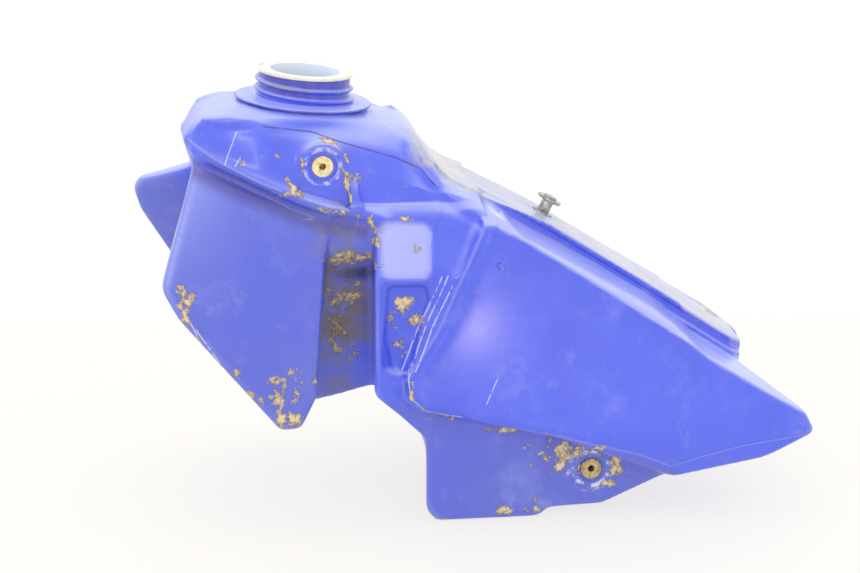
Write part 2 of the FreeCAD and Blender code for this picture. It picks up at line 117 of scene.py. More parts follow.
def blurred(field, sigma):
    spread = sigma / VOXEL
    reach = int(math.ceil(3 * spread))
    kernel = np.exp(-0.5 * (np.arange(-reach, reach + 1) / spread) ** 2)
    kernel = (kernel / kernel.sum()).astype(np.float32)
    for axis in range(3):
        border = [(reach, reach) if other == axis else (0, 0) for other in range(3)]
        source = np.moveaxis(np.pad(field, border, mode="edge"), axis, 0)
        total = np.zeros_like(np.moveaxis(field, axis, 0))
        for i, weight in enumerate(kernel):
            total += weight * source[i:i + total.shape[0]]
        field = np.moveaxis(total, 0, axis)
    return np.ascontiguousarray(field)


def grown(mask, steps):
    for _ in range(steps):
        bigger = mask.copy()
        for axis in range(3):
            bigger |= np.roll(mask, 1, axis) | np.roll(mask, -1, axis)
        mask = bigger
    return mask


def polygons(field):
    grid = vdb.FloatGrid(10.0)
    grid.transform = vdb.createLinearTransform(voxelSize=VOXEL)
    grid.copyFromArray(np.ascontiguousarray(field), ijk=tuple(int(i) for i in first_cell))
    points, triangles, quads = grid.convertToPolygons(isovalue=0.0, adaptivity=0.0)
    return points, [tuple(face) for face in quads.tolist() + triangles.tolist()]


# ---------------------------------------------------------------- shell

INSERTS = {"upper": (-112.0, 69.0, 256.5), "lower": (77.0, 104.0, 35.0)}
FLANGE_RADIUS = 7.5
TAP = np.array([4.0, -74.0, 0.0])
TAP_SPACING = 34.0
HOOK = np.array([57.5, 0.0, 200.6])
HOOK_LEAN = math.radians(29)
HOOK_UP = np.array([math.sin(HOOK_LEAN), 0.0, math.cos(HOOK_LEAN)])
INSERT_DEPTH = 17
SEAT_RADIUS = 8.5  # wide enough to plug an insert's seat

# Blur widths that round the moulding's edges: crisp, soft and very soft.
ROUNDINGS = (1.7, 3.2, 6.0)

# Two constants of a short formula for the inverse error function.
ERF_SUM, ERF_SHARE = 4.33, 0.147

# Lifts a trimming surface clear of the tank where it should not cut.
CLEAR = 60

# Window panels lie this far from the middle, on skin that faces this much sideways.
PANEL_AWAY, PANEL_FACING = 78, 0.3


def flank_inserts():
    for x, w, z in INSERTS.values():
        for side in (LEFT, RIGHT):
            yield np.array([x, side * w, z]), np.array([0.0, side, 0.0])


def tap_inserts():
    for end in (-1, 1):
        yield TAP + [end * TAP_SPACING / 2, 0, 0], np.array([0.0, 0.0, -1.0])


def filled_block(field):
    """Coverage of each cell by the tank as if it were solid, without its neck."""
    plugs = [cylinder(NECK_BASE, NECK_UP, 34, -16, NECK_RIM), cylinder(TAP, (0, 0, 1), 12.5, 0, 10)]
    for point, axis in list(flank_inserts()) + list(tap_inserts()):
        plugs.append(cylinder(point, axis, SEAT_RADIUS, -INSERT_DEPTH, 0))
    plugs.append(cylinder(HOOK, HOOK_UP, 8, -18, 0))
    for plug in plugs:
        field = np.minimum(field, plug)
    air = flood(field < 0.8 * VOXEL)
    for _ in range(2):
        air = grown(air, 1) & (field >= 0)
    coverage = np.where(grown(air, 1), np.clip(0.5 - field / VOXEL, 0, 1), 1.0)
    above = cylinder(NECK_BASE, NECK_UP, 56, 0.6, 60)
    return np.minimum(coverage, np.clip(0.5 + above / VOXEL, 0, 1)).astype(np.float32)


def softness():
    """How rounded the moulding is from place to place: 0 is crisp, 1 soft and 2 very soft."""
    away = np.abs(Y)
    head = smoothstep(8, -16, X) * smoothstep(-4, 14, Z - (200 - 0.30 * X))
    ear = smoothstep(-104, -112, X) * smoothstep(6, -8, Z - (194 - 0.30 * X))
    flange = smoothstep(-100, -84, X) * smoothstep(4, -30, X) * smoothstep(70, 90, Z)
    saddle = smoothstep(-46, -26, X) * smoothstep(34, 10, X) * smoothstep(170, 190, Z)
    saddle = saddle * smoothstep(84, 66, away)
    lower = smoothstep(72, 56, Z + 0 * X) * smoothstep(-60, -50, X) * smoothstep(60, 76, away)
    soft = 0.35 + 0.75 * head + 0.35 * ear + 0.45 * flange + 0.4 * lower + 1.3 * saddle
    return np.clip(soft, 0, 2).astype(np.float32)


def depth_of(blur, sigma):
    """The distance at which a flat wall, blurred by sigma, would have this coverage."""
    centred = 1 - 2 * np.clip(blur, 0.004, 0.996)
    log = np.log(1 - centred * centred)
    half = ERF_SUM + log / 2
    spread = math.hypot(sigma, VOXEL / math.sqrt(12))
    inverse = np.sign(centred) * np.sqrt(np.sqrt(half * half - log / ERF_SHARE) - half)
    return spread * math.sqrt(2) * inverse


def rounded(coverage):
    """Distance to the tank's skin after its edges are rounded by place."""
    fields = [depth_of(blurred(coverage, sigma), sigma) for sigma in ROUNDINGS]
    soft = softness()
    crisp_to_soft = fields[0] + (fields[1] - fields[0]) * np.clip(soft, 0, 1)
    return crisp_to_soft + (fields[2] - crisp_to_soft) * np.clip(soft - 1, 0, 1)


def smooth_max(a, b, reach):
    blend = np.clip(0.5 + 0.5 * (a - b) / reach, 0, 1)
    return b + (a - b) * blend + reach * blend * (1 - blend)


def knee_shelf(field):
    """Trims the ledge over each knee panel to one straight line, rising a little inwards."""
    away = np.abs(Y)
    over = (X - 5) * 0.536 + (Z - 218) * 0.844
    rise = 0.6 + 0.22 * np.maximum(108 - away, 0) + CLEAR * smoothstep(84, 70, away)
    rise = rise + CLEAR * smoothstep(8, -8, X) + CLEAR * smoothstep(215, 232, X)
    return smooth_max(field, over - rise, 2.5)


def seat_rest(field):
    """Fills the seat rest up to two flat slopes that meet at the hook, and slopes its shoulders."""
    away = np.abs(Y)
    front_slope = Z - 230 + 0.511 * X
    over = np.maximum(front_slope, Z - 200.6 + 0.65 * (X - HOOK[0])) * 0.87
    half = np.interp(X, [-20, 0, 30, 57, 130, 165], [50, 50, 43, 35, 37, 43])
    slab = np.maximum(np.maximum(over, -over - 13), np.maximum(away - half, np.abs(X - 69) - 85))
    field = -smooth_max(-field, -slab, 4.0)
    shoulder = (front_slope + 0.15 * (away - 50)) * 0.87
    kept = CLEAR * (smoothstep(50, 44, away) + smoothstep(-26, -46, X) + smoothstep(16, 32, X))
    return smooth_max(field, shoulder - kept, 6.0)


def pillar_shoulder(field):
    """Slopes the top of the pillar in front of each knee panel, down to its window."""
    away = np.abs(Y)
    over = (Z - 219 - 0.40 * (98 - away)) * 0.93
    kept = CLEAR * (smoothstep(72, 66, away) + smoothstep(-84, -92, X) + smoothstep(2, 14, X))
    return smooth_max(field, over - kept, 6.0)


def shroud_pads(field):
    """Flat pads for the inserts: an arch cut into the head's side, and a low round boss below."""
    x, w, z = INSERTS["upper"]
    away = np.abs(Y)
    niche = np.maximum(np.abs(X - x) - 17 - 0.06 * (z - Z), np.maximum(w - away, Z - z))
    field = np.maximum(field, -np.maximum(niche, 231.5 + 0.35 * (x - X) - Z))
    for point, axis in flank_inserts():
        boss = cylinder(point, axis, 16.5, -14, 0)
        ring = np.maximum(cylinder(point, axis, 13.2, -0.7, 3), -cylinder(point, axis, 11.6, -3, 3))
        field = np.maximum(np.minimum(field, boss), -ring)
    return field


def carve_seats(field):
    for point, axis in list(flank_inserts()) + list(tap_inserts()):
        field = np.maximum(field, -cylinder(point, axis, FLANGE_RADIUS + 0.2, -2.2, 8))
        field = np.maximum(field, -cylinder(point, axis, 5.6, -INSERT_DEPTH, 8))
    field = np.maximum(field, -cylinder(TAP, (0, 0, 1), 11, -10, 8))
    field = np.maximum(field, -cylinder(NECK_BASE, NECK_UP, 31, -40, 20))
    dx, dy, dz = X - NECK_BASE[0], Y, Z - NECK_BASE[2]
    ball = np.sqrt(dx * dx + dy * dy + dz * dz) - 66
    return np.maximum(field, -np.maximum(field + 4.5, ball))


def new_piece(name, points, faces, material):
    mesh = bpy.data.meshes.new(name)
    mesh.from_pydata((np.asarray(points) * MM).tolist(), [], faces)
    mesh.polygons.foreach_set("use_smooth", [True] * len(mesh.polygons))
    mesh.materials.append(material)
    obj = bpy.data.objects.new(name, mesh)
    bpy.context.scene.collection.objects.link(obj)
    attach(obj, "root")
    return obj


# Lines on each flank, as (x, z) in the side view. They run along the moulding's own features.
LIP = [
    (-207, 262), (-190, 256), (-172, 248), (-156, 241), (-129, 231), (-108, 224), (-88, 223),
    (-78, 219),
]
LIP_HIGHLIGHT = [(-204, 270), (-190, 262), (-172, 253), (-156, 246), (-142, 241)]
HEAD_RIDGE = [(-187, 286), (-154, 288), (-113, 285), (-77, 280), (-52, 273), (-44, 262)]
SHROUD_EDGE = [(-152, 283), (-118, 279), (-89, 269), (-60, 260), (-41, 251), (-32, 240)]
SADDLE = [(-49, 271), (-45, 260), (-34, 245), (-21, 233), (-4, 224), (2, 220)]
KNEE_TOP = [(6, 221), (232, 78)]
KNEE_CREASE = [(9, 225), (234, 82)]
KNEE_FRONT = [(1, 218), (-34, 146), (-60, 107)]
KNEE_FOOT = [(-60, 107), (-59, 95), (-45, 85), (-12, 78), (51, 66), (109, 49), (133, 38)]
TAIL_LIP = [(133, 38), (153, 45), (185, 53), (236, 59)]
DENT = [(9, 189), (11, 187)]
DENT_RIM = [(11, 190), (12, 187), (10, 185)]
LOBE_STEP = [(16, 54), (12, 6)]

# Each feature: line, half width in mm, depth in mm (outwards is positive), how far above the line
# its middle lies.
RIDGES = [
    (LIP, 4.2, 2.0, 3.6), (LIP, 3.4, -1.8, -3.4), (HEAD_RIDGE, 3.0, 1.2, 0.0),
    (HEAD_RIDGE, 3.4, -0.4, -7.0), (SADDLE, 3.0, 1.4, 0.0), (SADDLE, 3.2, -0.9, -6.5),
    (KNEE_TOP, 2.4, 0.7, -1.4), (KNEE_CREASE, 2.2, -1.0, 0.0), (KNEE_FRONT, 3.4, -2.2, 2.4),
    (KNEE_FOOT, 3.0, -1.8, -1.4), (LOBE_STEP, 4.5, -1.5, 0.0),
]

# Panels sunk into each flank: the middle of each in the side view, its depth and how far its
# rounded edge lies beyond that middle, in mm.
PANELS = [
    ([(-67, 212), (-44, 210), (-46, 187), (-68, 188)], 1.6, 7.0),
    ([(-66, 171), (-46, 171), (-45, 167), (-60, 118), (-64, 118), (-68, 136)], 3.4, 4.5),
]


def inside(outline, across, up):
    """Signed distance into a side outline: positive inside it."""
    nearest, _ = from_line(outline + outline[:1], across, up)
    within = np.zeros(across.shape, bool)
    for (x0, z0), (x1, z1) in zip(outline, outline[1:] + outline[:1]):
        crosses = (z0 > up) != (z1 > up)
        rise = (z1 - z0) or 1e-9
        within ^= crosses & (across < x0 + (up - z0) * (x1 - x0) / rise)
    return np.where(within, nearest, -nearest)


def from_line(line, across, up):
    """Distance of points to a line in the side view, and how far above it they are."""
    nearest = np.full(across.shape, 1e9, np.float32)
    above = np.zeros_like(nearest)
    for (x0, z0), (x1, z1) in zip(line, line[1:]):
        dx, dz = x1 - x0, z1 - z0
        length = math.hypot(dx, dz)
        t = np.clip(((across - x0) * dx + (up - z0) * dz) / length ** 2, 0, 1)
        gap = np.hypot(across - x0 - t * dx, up - z0 - t * dz)
        height = ((up - z0) * dx - (across - x0) * dz) / length
        closer = gap < nearest
        nearest[closer] = gap[closer]
        above[closer] = height[closer]
    return nearest, above


def vertex_normals(points, faces):
    corners = points[faces]
    normal = np.cross(corners[:, 2] - corners[:, 0], corners[:, 3] - corners[:, 1])
    total = np.zeros_like(points)
    for i in range(4):
        np.add.at(total, faces[:, i], normal)
    return total / np.maximum(np.linalg.norm(total, axis=1, keepdims=True), 1e-9)


def smoothed(points, faces):
    """Evens out the flat parts of a surface, and leaves its edges alone."""
    start, end = faces.ravel(), np.roll(faces, -1, axis=1).ravel()
    count = np.maximum(np.bincount(start, minlength=len(points)), 1)

    def around(values):
        sums = [np.bincount(start, values[end, i], len(points)) for i in range(3)]
        return np.stack(sums, 1) / count[:, None]

    spread = vertex_normals(points, faces)
    for _ in range(5):
        spread = around(spread)
    flat = smoothstep(0.975, 0.996, np.linalg.norm(spread, axis=1))[:, None]
    for _ in range(60):
        points = points + 0.6 * flat * (around(points) - points)
    return points


def raise_ridges(points, normals):
    """Moves the skin out or in along the moulding's fine lines, on both flanks."""
    away = np.abs(points[:, 1])
    outward = normals[:, 1] * np.sign(points[:, 1])
    flank = smoothstep(0.05, 0.35, outward + 0.4 * normals[:, 2]) * (away > 30)
    shift = np.zeros(len(points))
    for line, width, depth, lift in RIDGES:
        gap, above = from_line(line, points[:, 0], points[:, 2])
        end_fade = smoothstep(3 * width + abs(lift), 2 * width + abs(lift), gap)
        shift += depth * np.exp(-((above - lift) / width) ** 2) * end_fade
    shift *= flank
    for outline, depth, margin in PANELS:
        within = inside(outline, points[:, 0], points[:, 2]) + margin
        depth_here = depth * smoothstep(-0.8, 2.6, within)
        shift -= depth_here * (away > PANEL_AWAY) * (outward > PANEL_FACING)
    return points + normals * shift[:, None]


# Mud by place: side (-1 left, 1 right, 0 both), x, z, radius along x, radius along z, amount.
MUD = [
    (-1, 60, 49, 13, 9, 1.0), (-1, 54, 39, 6, 8, 0.9), (-1, 72, 57, 15, 3, 0.8),
    (-1, 95, 34, 5, 13, 1.0), (-1, 90, 22, 9, 4, 0.9), (-1, 103, 30, 6, 4, 0.8),
    (-1, -58, 163, 8, 10, 1.0), (-1, -52, 150, 7, 10, 1.0), (-1, -66, 144, 4, 16, 0.7),
    (-1, -60, 132, 4, 12, 0.6), (-1, -213, 174, 7, 11, 1.0), (-1, -216, 158, 5, 12, 0.7),
    (-1, -168, 100, 22, 6, 0.8), (-1, -141, 84, 15, 8, 1.0), (-1, -146, 106, 24, 14, 0.66),
    (-1, -180, 116, 5, 10, 0.7), (-1, -206, 142, 3, 12, 0.65), (-1, 13, 69, 20, 3, 0.95),
    (-1, 28, 53, 6, 4, 0.95), (-1, 33, 43, 6, 3, 0.9), (-1, -30, 80, 16, 3, 0.7),
    (-1, 21, 6, 18, 3, 0.95), (-1, -28, 2, 14, 2, 0.9), (-1, 37, 9, 4, 6, 0.9),
    (-1, -143, 263, 3, 3, 0.8), (-1, -56, 241, 5, 3, 0.9), (-1, -50, 219, 7, 2.5, 0.9),
    (-1, -169, 259, 3, 3, 0.8), (-1, -48, 200, 6, 3, 0.6), (-1, 62, 44, 26, 18, 0.56),
    (1, 60, 44, 22, 10, 0.9), (1, -150, 100, 30, 12, 0.8), (1, -110, 232, 24, 6, 0.8),
    (1, 100, 36, 8, 12, 0.8), (1, -56, 150, 10, 18, 0.7), (1, 188, 112, 10, 8, 0.9),
    (0, -94, 191, 20, 7, 1.0), (0, -98, 160, 13, 11, 0.95), (0, -102, 136, 8, 20, 0.85),
    (0, -92, 114, 7, 12, 0.65),
]

# The recess behind each ear and the slot at its top, in the same form as the mud.
RECESS = [(0, -98, 148, 22, 66, 1.0)]
SLOT = [(0, -88, 177, 14, 5, 1.0)]

# Thin smears: side, line and width, in mm.
SMEARS = [
    (-1, [(-137, 248), (-133, 241), (-141, 237)], 3.4),
    (-1, [(-129, 238), (-124, 233), (-117, 230)], 3.2),
    (-1, [(-116, 229), (-104, 227), (-93, 225)], 2.4),
    (-1, [(-92, 226), (-94, 238), (-96, 248)], 1.7),
    (-1, [(-99, 253), (-94, 250), (-86, 247)], 3.4),
    (-1, [(-114, 276), (-104, 273), (-97, 266), (-94, 259)], 1.8),
    (-1, [(-127, 262), (-126, 254)], 2.2),
    (-1, [(-89, 223), (-80, 220), (-76, 213), (-75, 203)], 2.6),
    (-1, [(-54, 108), (-56, 98), (-46, 88), (-28, 82)], 2.0),
    (-1, [(-216, 168), (-204, 140), (-186, 118)], 2.0),
    (1, [(-118, 230), (-104, 228), (-93, 226)], 3.0),
    (1, [(-88, 222), (-76, 214), (-75, 200)], 2.6),
]


def patches(points, table):
    amount = np.zeros(len(points), np.float32)
    for side, x, z, wide, tall, strength in table:
        gap = np.hypot((points[:, 0] - x) / wide, (points[:, 2] - z) / tall)
        here = strength * np.exp(-(gap / 1.15) ** 2.6)
        if side:
            here = here * (points[:, 1] * side > 8)
        amount = np.maximum(amount, here)
    return amount


def smears(points):
    amount = np.zeros(len(points), np.float32)
    for side, line, width in SMEARS:
        gap, _ = from_line(line, points[:, 0], points[:, 2])
        amount = np.maximum(amount, np.exp(-(gap / width) ** 2) * (points[:, 1] * side > 30))
    return amount


def paint(mesh, name, values):
    layer = mesh.attributes.new(name, "FLOAT", "POINT")
    layer.data.foreach_set("value", np.asarray(values, np.float32))


def crevice(points, normals, field):
    """How enclosed each point is: the tank's own bulk just outside it."""
    bulk = blurred(np.clip(0.5 - field / VOXEL, 0, 1).astype(np.float32), 8.0)
    place = np.clip((points + normals * 3.0) / VOXEL - first_cell, 0, np.array(field.shape) - 1.001)
    corner = place.astype(int)
    share = place - corner
    total = np.zeros(len(points), np.float32)
    for step in np.ndindex(2, 2, 2):
        weight = np.prod(np.where(step, share, 1 - share), axis=1)
        i, j, k = (corner + step).T
        total += weight * bulk[i, j, k]
    return total


def build_shell(material):
    coverage = filled_block(signed_field(*mesh_arrays(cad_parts["tank_shell"])))
    field = rounded(coverage)
    field = carve_seats(shroud_pads(pillar_shoulder(seat_rest(knee_shelf(field)))))
    points, faces = polygons(field)
    quads = np.array([face if len(face) == 4 else face + (face[-1],) for face in faces])
    points = smoothed(points, quads)
    normals = vertex_normals(points, quads)
    bulk = crevice(points, normals, field)
    points = raise_ridges(points, normals)
    shell = new_piece("tank_skin", points, faces, material)
    away = np.abs(points[:, 1])
    paint(shell.data, "mud", np.maximum(patches(points, MUD), smears(points)))
    outward = normals[:, 1] * np.sign(points[:, 1])
    # Painted shade in corners and crevices, where the tank's own bulk encloses the skin: at the head
    # and ears and low down.
    shade_zone = np.maximum(smoothstep(-70, -90, points[:, 0]), 0.6 * smoothstep(96, 84, points[:, 2]))
    paint(shell.data, "crevice_shade", smoothstep(0.50, 0.74, bulk) * shade_zone)
    # Painted highlight along convex edges.
    paint(shell.data, "edge", smoothstep(0.24, 0.10, bulk))
    paint(shell.data, "recess", patches(points, RECESS) * (away < 84))
    ear_height = points[:, 2] + 0.45 * (points[:, 0] + 130)
    ear = smoothstep(-84, -96, points[:, 0]) * smoothstep(250, 226, ear_height)
    _, above_foot = from_line(KNEE_FOOT, points[:, 0], points[:, 2])
    lobe = smoothstep(0, -4, above_foot) * smoothstep(100, 84, points[:, 2])
    paint(shell.data, "dust", np.maximum(ear * (away > 45), lobe))
    paint(shell.data, "slot", patches(points, SLOT) * (away < 84))
    # Upward slopes of the seat rest: worn white, and painted lighter with a sheen as they face the
    # light above.
    half = np.interp(points[:, 0], [-40, -10, 5, 25, 110, 140, 180], [62, 56, 50, 40, 34, 38, 46])
    slope = smoothstep(0.22, 0.50, normals[:, 2]) * smoothstep(2, -4, away - half)
    slope *= smoothstep(-54, -42, points[:, 0])
    paint(shell.data, "seat", slope)
    # The sunk window panel gets a painted sheen, as if it faced more upwards into the light.
    outline, _, margin = PANELS[0]
    window = smoothstep(-2.5, 4.0, inside(outline, points[:, 0], points[:, 2]) + margin)
    paint(shell.data, "window", window * (away > PANEL_AWAY) * (outward > PANEL_FACING))
    lip_gap, above_lip = from_line(LIP, points[:, 0], points[:, 2])
    shade = np.exp(-((above_lip + 8.5) / 6.5) ** 2) * smoothstep(22, 14, lip_gap) * (away > 30)
    paint(shell.data, "shade", shade * smoothstep(-76, -84, points[:, 0]))
    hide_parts("tank_shell")


# ---------------------------------------------------------------- neck

THREAD_PITCH, THREAD_TURNS, THREAD_CORE, THREAD_HEIGHT = 7.0, 2.35, 33.0, 2.9


def neck_radius(angle, height):
    """The thread's outside: a tapering helix on a straight core, over a bead and a root fillet."""
    radius = np.full_like(angle, THREAD_CORE)
    for turn in range(4):
        travelled = turn + angle / (2 * math.pi)
        fade = smoothstep(0, 0.12, travelled)
        fade = fade * smoothstep(THREAD_TURNS, THREAD_TURNS - 0.15, travelled)
        crest = NECK_RIM - 2.2 - THREAD_PITCH * travelled
        radius += THREAD_HEIGHT * fade * np.exp(-np.abs((height - crest) / 1.45) ** 3)
    radius += 1.1 * np.exp(-((height - 4.6) / 0.9) ** 2)
    return radius + 3.0 * np.exp(-(height - 2.6) / 0.9) * (height < 9)


def build_neck(material):
    """The threaded neck with the thin disc at its foot."""
    around = 192
    angles = np.linspace(0, 2 * math.pi, around, endpoint=False)
    rings = [(29.6, -14), (29.6, NECK_RIM - 1), (30.0, NECK_RIM)]
    heights = np.linspace(NECK_RIM, 2.7, 62)
    foot = [(44, 2.5), (48.3, 2.4), (49.3, 2.0), (49.6, 1.4), (49.3, 0.8), (48.6, 0.4), (47, 0.2),
            (44, 0.0), (40, -4)]
    points = []
    profile = [(np.full(around, r), h) for r, h in rings]
    profile += [(neck_radius(angles, np.full(around, h)), h) for h in heights]
    profile += [(np.full(around, r), h) for r, h in foot]
    side = np.array([math.cos(NECK_LEAN), 0, -math.sin(NECK_LEAN)])
    for radii, height in profile:
        for radius, angle in zip(radii, angles):
            points.append(NECK_BASE + NECK_UP * height + radius * (
                side * math.cos(angle) + np.array([0, math.sin(angle), 0])))
    faces = []
    for ring in range(len(profile) - 1):
        for i in range(around):
            j = (i + 1) % around
            faces.append((ring * around + i, ring * around + j, (ring + 1) * around + j,
                          (ring + 1) * around + i))
    neck = new_piece("neck_thread", points, faces, material)
    radii = np.concatenate([ring for ring, height in profile])
    heights = np.repeat([height for ring, height in profile], around)
    # Painted shade in the thread roots and on the foot disc's rim.
    roots = smoothstep(34.6, 33.2, radii) * (heights > 2.6)
    paint(neck.data, "crevice_shade", np.maximum(roots, radii > 49.0))
    paint(neck.data, "thread", (radii > 34.6) * (radii < 37) * (heights > 9))
    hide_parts("tank_shell")


# ---------------------------------------------------------------- materials

class Nodes:
    """A small builder for one material's node tree."""

    def __init__(self, name):
        self.material = bpy.data.materials.new(name)
        self.material.use_nodes = True
        self.tree = self.material.node_tree
        self.surface = self.tree.nodes["Principled BSDF"]
        self.where = self.add("ShaderNodeTexCoord").outputs["Object"]
        self.flat = None

    def add(self, kind, inputs=None, **settings):
        node = self.tree.nodes.new(kind)
        for key, value in settings.items():
            setattr(node, key, value)
        for key, value in (inputs or {}).items():
            self.put(node.inputs[key], value)
        return node

    def put(self, socket, value):
        if isinstance(value, bpy.types.NodeSocket):
            self.tree.links.new(value, socket)
        else:
            socket.default_value = value

    def noise(self, scale, detail=3.0, roughness=0.55, stretch=(1, 1, 1), shift=(0, 0, 0)):
        place = self.add("ShaderNodeMapping", {0: self.where, "Scale": stretch, "Location": shift})
        texture = self.add("ShaderNodeTexNoise", {
            "Vector": place.outputs[0], "Scale": scale, "Detail": detail, "Roughness": roughness})
        return texture.outputs[0]

    def ramp(self, value, low_edge, high_edge, low_value=0.0, high_value=1.0):
        node = self.add("ShaderNodeMapRange", {
            0: value, 1: low_edge, 2: high_edge, 3: low_value, 4: high_value},
            interpolation_type="SMOOTHSTEP")
        return node.outputs[0]

    def math(self, operation, a, b=0.0):
        return self.add("ShaderNodeMath", {0: a, 1: b}, operation=operation).outputs[0]

    def mix(self, amount, a, b):
        node = self.add("ShaderNodeMix", data_type="RGBA")
        for index, value in ((0, amount), (6, a), (7, b)):
            if isinstance(value, tuple) and len(value) == 3:
                value = value + (1.0,)
            self.put(node.inputs[index], value)
        return node.outputs[2]

    def gap_to(self, line):
        """Distance in millimetres, in the side view, from the shaded point to a line."""
        if self.flat is None:
            self.flat = self.add("ShaderNodeVectorMath", {0: self.where, 1: (1 / MM, 0, 1 / MM)},
                                 operation="MULTIPLY").outputs[0]
        nearest = None
        for start, end in zip(line, line[1:]):
            run = Vector((end[0] - start[0], 0, end[1] - start[1]))
            offset = self.add("ShaderNodeVectorMath", {0: self.flat, 1: (start[0], 0, start[1])},
                              operation="SUBTRACT").outputs[0]
            share = self.add("ShaderNodeVectorMath", {0: offset, 1: tuple(run / run.length_squared)},
                             operation="DOT_PRODUCT")
            share = self.add("ShaderNodeClamp", {0: share.outputs["Value"]}).outputs[0]
            reach = self.add("ShaderNodeVectorMath", {0: tuple(run), "Scale": share},
                             operation="SCALE").outputs[0]
            gap = self.add("ShaderNodeVectorMath", {0: offset, 1: reach},
                           operation="DISTANCE").outputs["Value"]
            nearest = gap if nearest is None else self.math("MINIMUM", nearest, gap)
        return nearest

    def stroke(self, line, width, broken=None):
        """1 on a line and 0 beyond its width, broken up by a noise where one is given."""
        mask = self.ramp(self.gap_to(line), width * 0.35, width, 1.0, 0.0)
        return mask if broken is None else self.math("MULTIPLY", mask, broken)

    def ring(self, centre, radius, width):
        """1 on a circle in the side view."""
        gap = self.gap_to([centre, (centre[0] + 0.01, centre[1])])
        away = self.math("ABSOLUTE", self.math("SUBTRACT", gap, radius))
        return self.ramp(away, width * 0.3, width, 1.0, 0.0)

    def attribute(self, name):
        return self.add("ShaderNodeAttribute", attribute_name=name).outputs["Fac"]

    def bump(self, height, distance, strength=1.0, after=None):
        node = self.add("ShaderNodeBump", {
            "Height": height, "Distance": distance, "Strength": strength})
        if after is not None:
            self.put(node.inputs["Normal"], after)
        return node.outputs[0]

    def finish(self, colour, roughness, normal=None, metallic=0.0):
        self.put(self.surface.inputs["Base Color"], colour)
        self.put(self.surface.inputs["Roughness"], roughness)
        self.put(self.surface.inputs["Metallic"], metallic)
        if normal is not None:
            self.put(self.surface.inputs["Normal"], normal)
        return self.material


DEEP_BLUE = (0.070, 0.104, 0.72)
FACE_BLUE = (0.090, 0.132, 0.82)
FADE_AND_HIGHLIGHT_BLUE = (0.40, 0.45, 0.88)
WINDOW_SHEEN_BLUE = (0.50, 0.52, 0.92)
DUSTY_BLUE = (0.115, 0.140, 0.50)
WORN_WHITE = (0.80, 0.81, 0.88)
SEAT_WEAR_AND_SHEEN = (0.44, 0.45, 0.55)
SHADE_BLUE = (0.060, 0.048, 0.30)
YELLOWED = (0.66, 0.62, 0.40)
PALE_MUD = (0.72, 0.57, 0.36)
WET_MUD = (0.40, 0.28, 0.15)
OLIVE_MUD = (0.20, 0.16, 0.085)
SMUDGE_BLUE = (0.30, 0.34, 0.62)
LINE_SHADE_AND_DIRT = (0.04, 0.04, 0.20)
SLOT_SHADE = (0.02, 0.02, 0.08)
THREAD_DIRT = (0.30, 0.27, 0.30)
GROOVE_MARKS = [
    [(-27, 182), (-42, 150), (-57, 112), (-56, 98), (-44, 87), (-20, 83)],
    [(-31, 182), (-46, 150), (-60, 114)], [(-24, 176), (-39, 146), (-52, 116)],
]
LONG_SCRATCHES = [
    [(-171, 279), (-180, 257)], [(-169, 262), (-173, 256)], [(6, 109), (-2, 92)],
    [(-210, 158), (-202, 140)], [(-206, 152), (-190, 128)], [(8, 221), (20, 214)],
]
STAIN = [(-36, 262), (-18, 250), (-8, 240)]
WINDOW_RIM = [(-80, 227), (-30, 225), (-40, 200), (-43, 178)]


def flank_lines(n, coarse):
    """The moulding's fine lines: how pale with painted highlights, how dark with painted shade and
    dirt, and how high each place is, in mm.
    """
    # A painted highlight along the fold above the lip, on a slightly raised line.
    light = n.stroke(LIP_HIGHLIGHT, 1.6)
    # The shroud edge is a dark line of painted shade and dirt in its crease.
    dark = n.stroke(SHROUD_EDGE, 0.75, n.ramp(coarse, 0.3, 0.5, 0.3, 0.7))
    height = n.math("MULTIPLY", dark, -0.45)
    height = n.math("ADD", height, n.math("MULTIPLY", light, 0.45))
    pale = n.math("MULTIPLY", light, 0.30)
    reliefs = ((TAIL_LIP, 1.5, -0.5), (WINDOW_RIM, 2.2, 0.4), (KNEE_TOP, 1.6, 0.4),
               (KNEE_CREASE, 1.6, -0.5), (DENT, 2.6, -1.1))
    for line, width, rise in reliefs:
        height = n.math("ADD", height, n.math("MULTIPLY", n.stroke(line, width), rise))
    # Pale strokes along ridges, creases and rims: painted highlights on these edges.
    edge_highlights = ((KNEE_FOOT, 1.6, 0.22), (KNEE_FRONT, 1.6, 0.26), (HEAD_RIDGE, 1.8, 0.16),
              (SADDLE, 1.8, 0.30), (TAIL_LIP, 1.2, 0.20), (KNEE_TOP, 1.5, 0.50),
              (DENT_RIM, 0.9, 0.25))
    for line, width, amount in edge_highlights:
        pale = n.math("MAXIMUM", pale, n.math("MULTIPLY", n.stroke(line, width), amount))
    for level, radius in (("upper", 9.6), ("lower", 9.2)):
        x, _, z = INSERTS[level]
        ring = n.ring((x, z), radius, 0.8)
        height = n.math("SUBTRACT", height, n.math("MULTIPLY", ring, 0.35))
        dirt = n.math("MULTIPLY", ring, n.ramp(coarse, 0.35, 0.6, 0.0, 0.5))
        dark = n.math("MAXIMUM", dark, dirt)
    return pale, dark, height


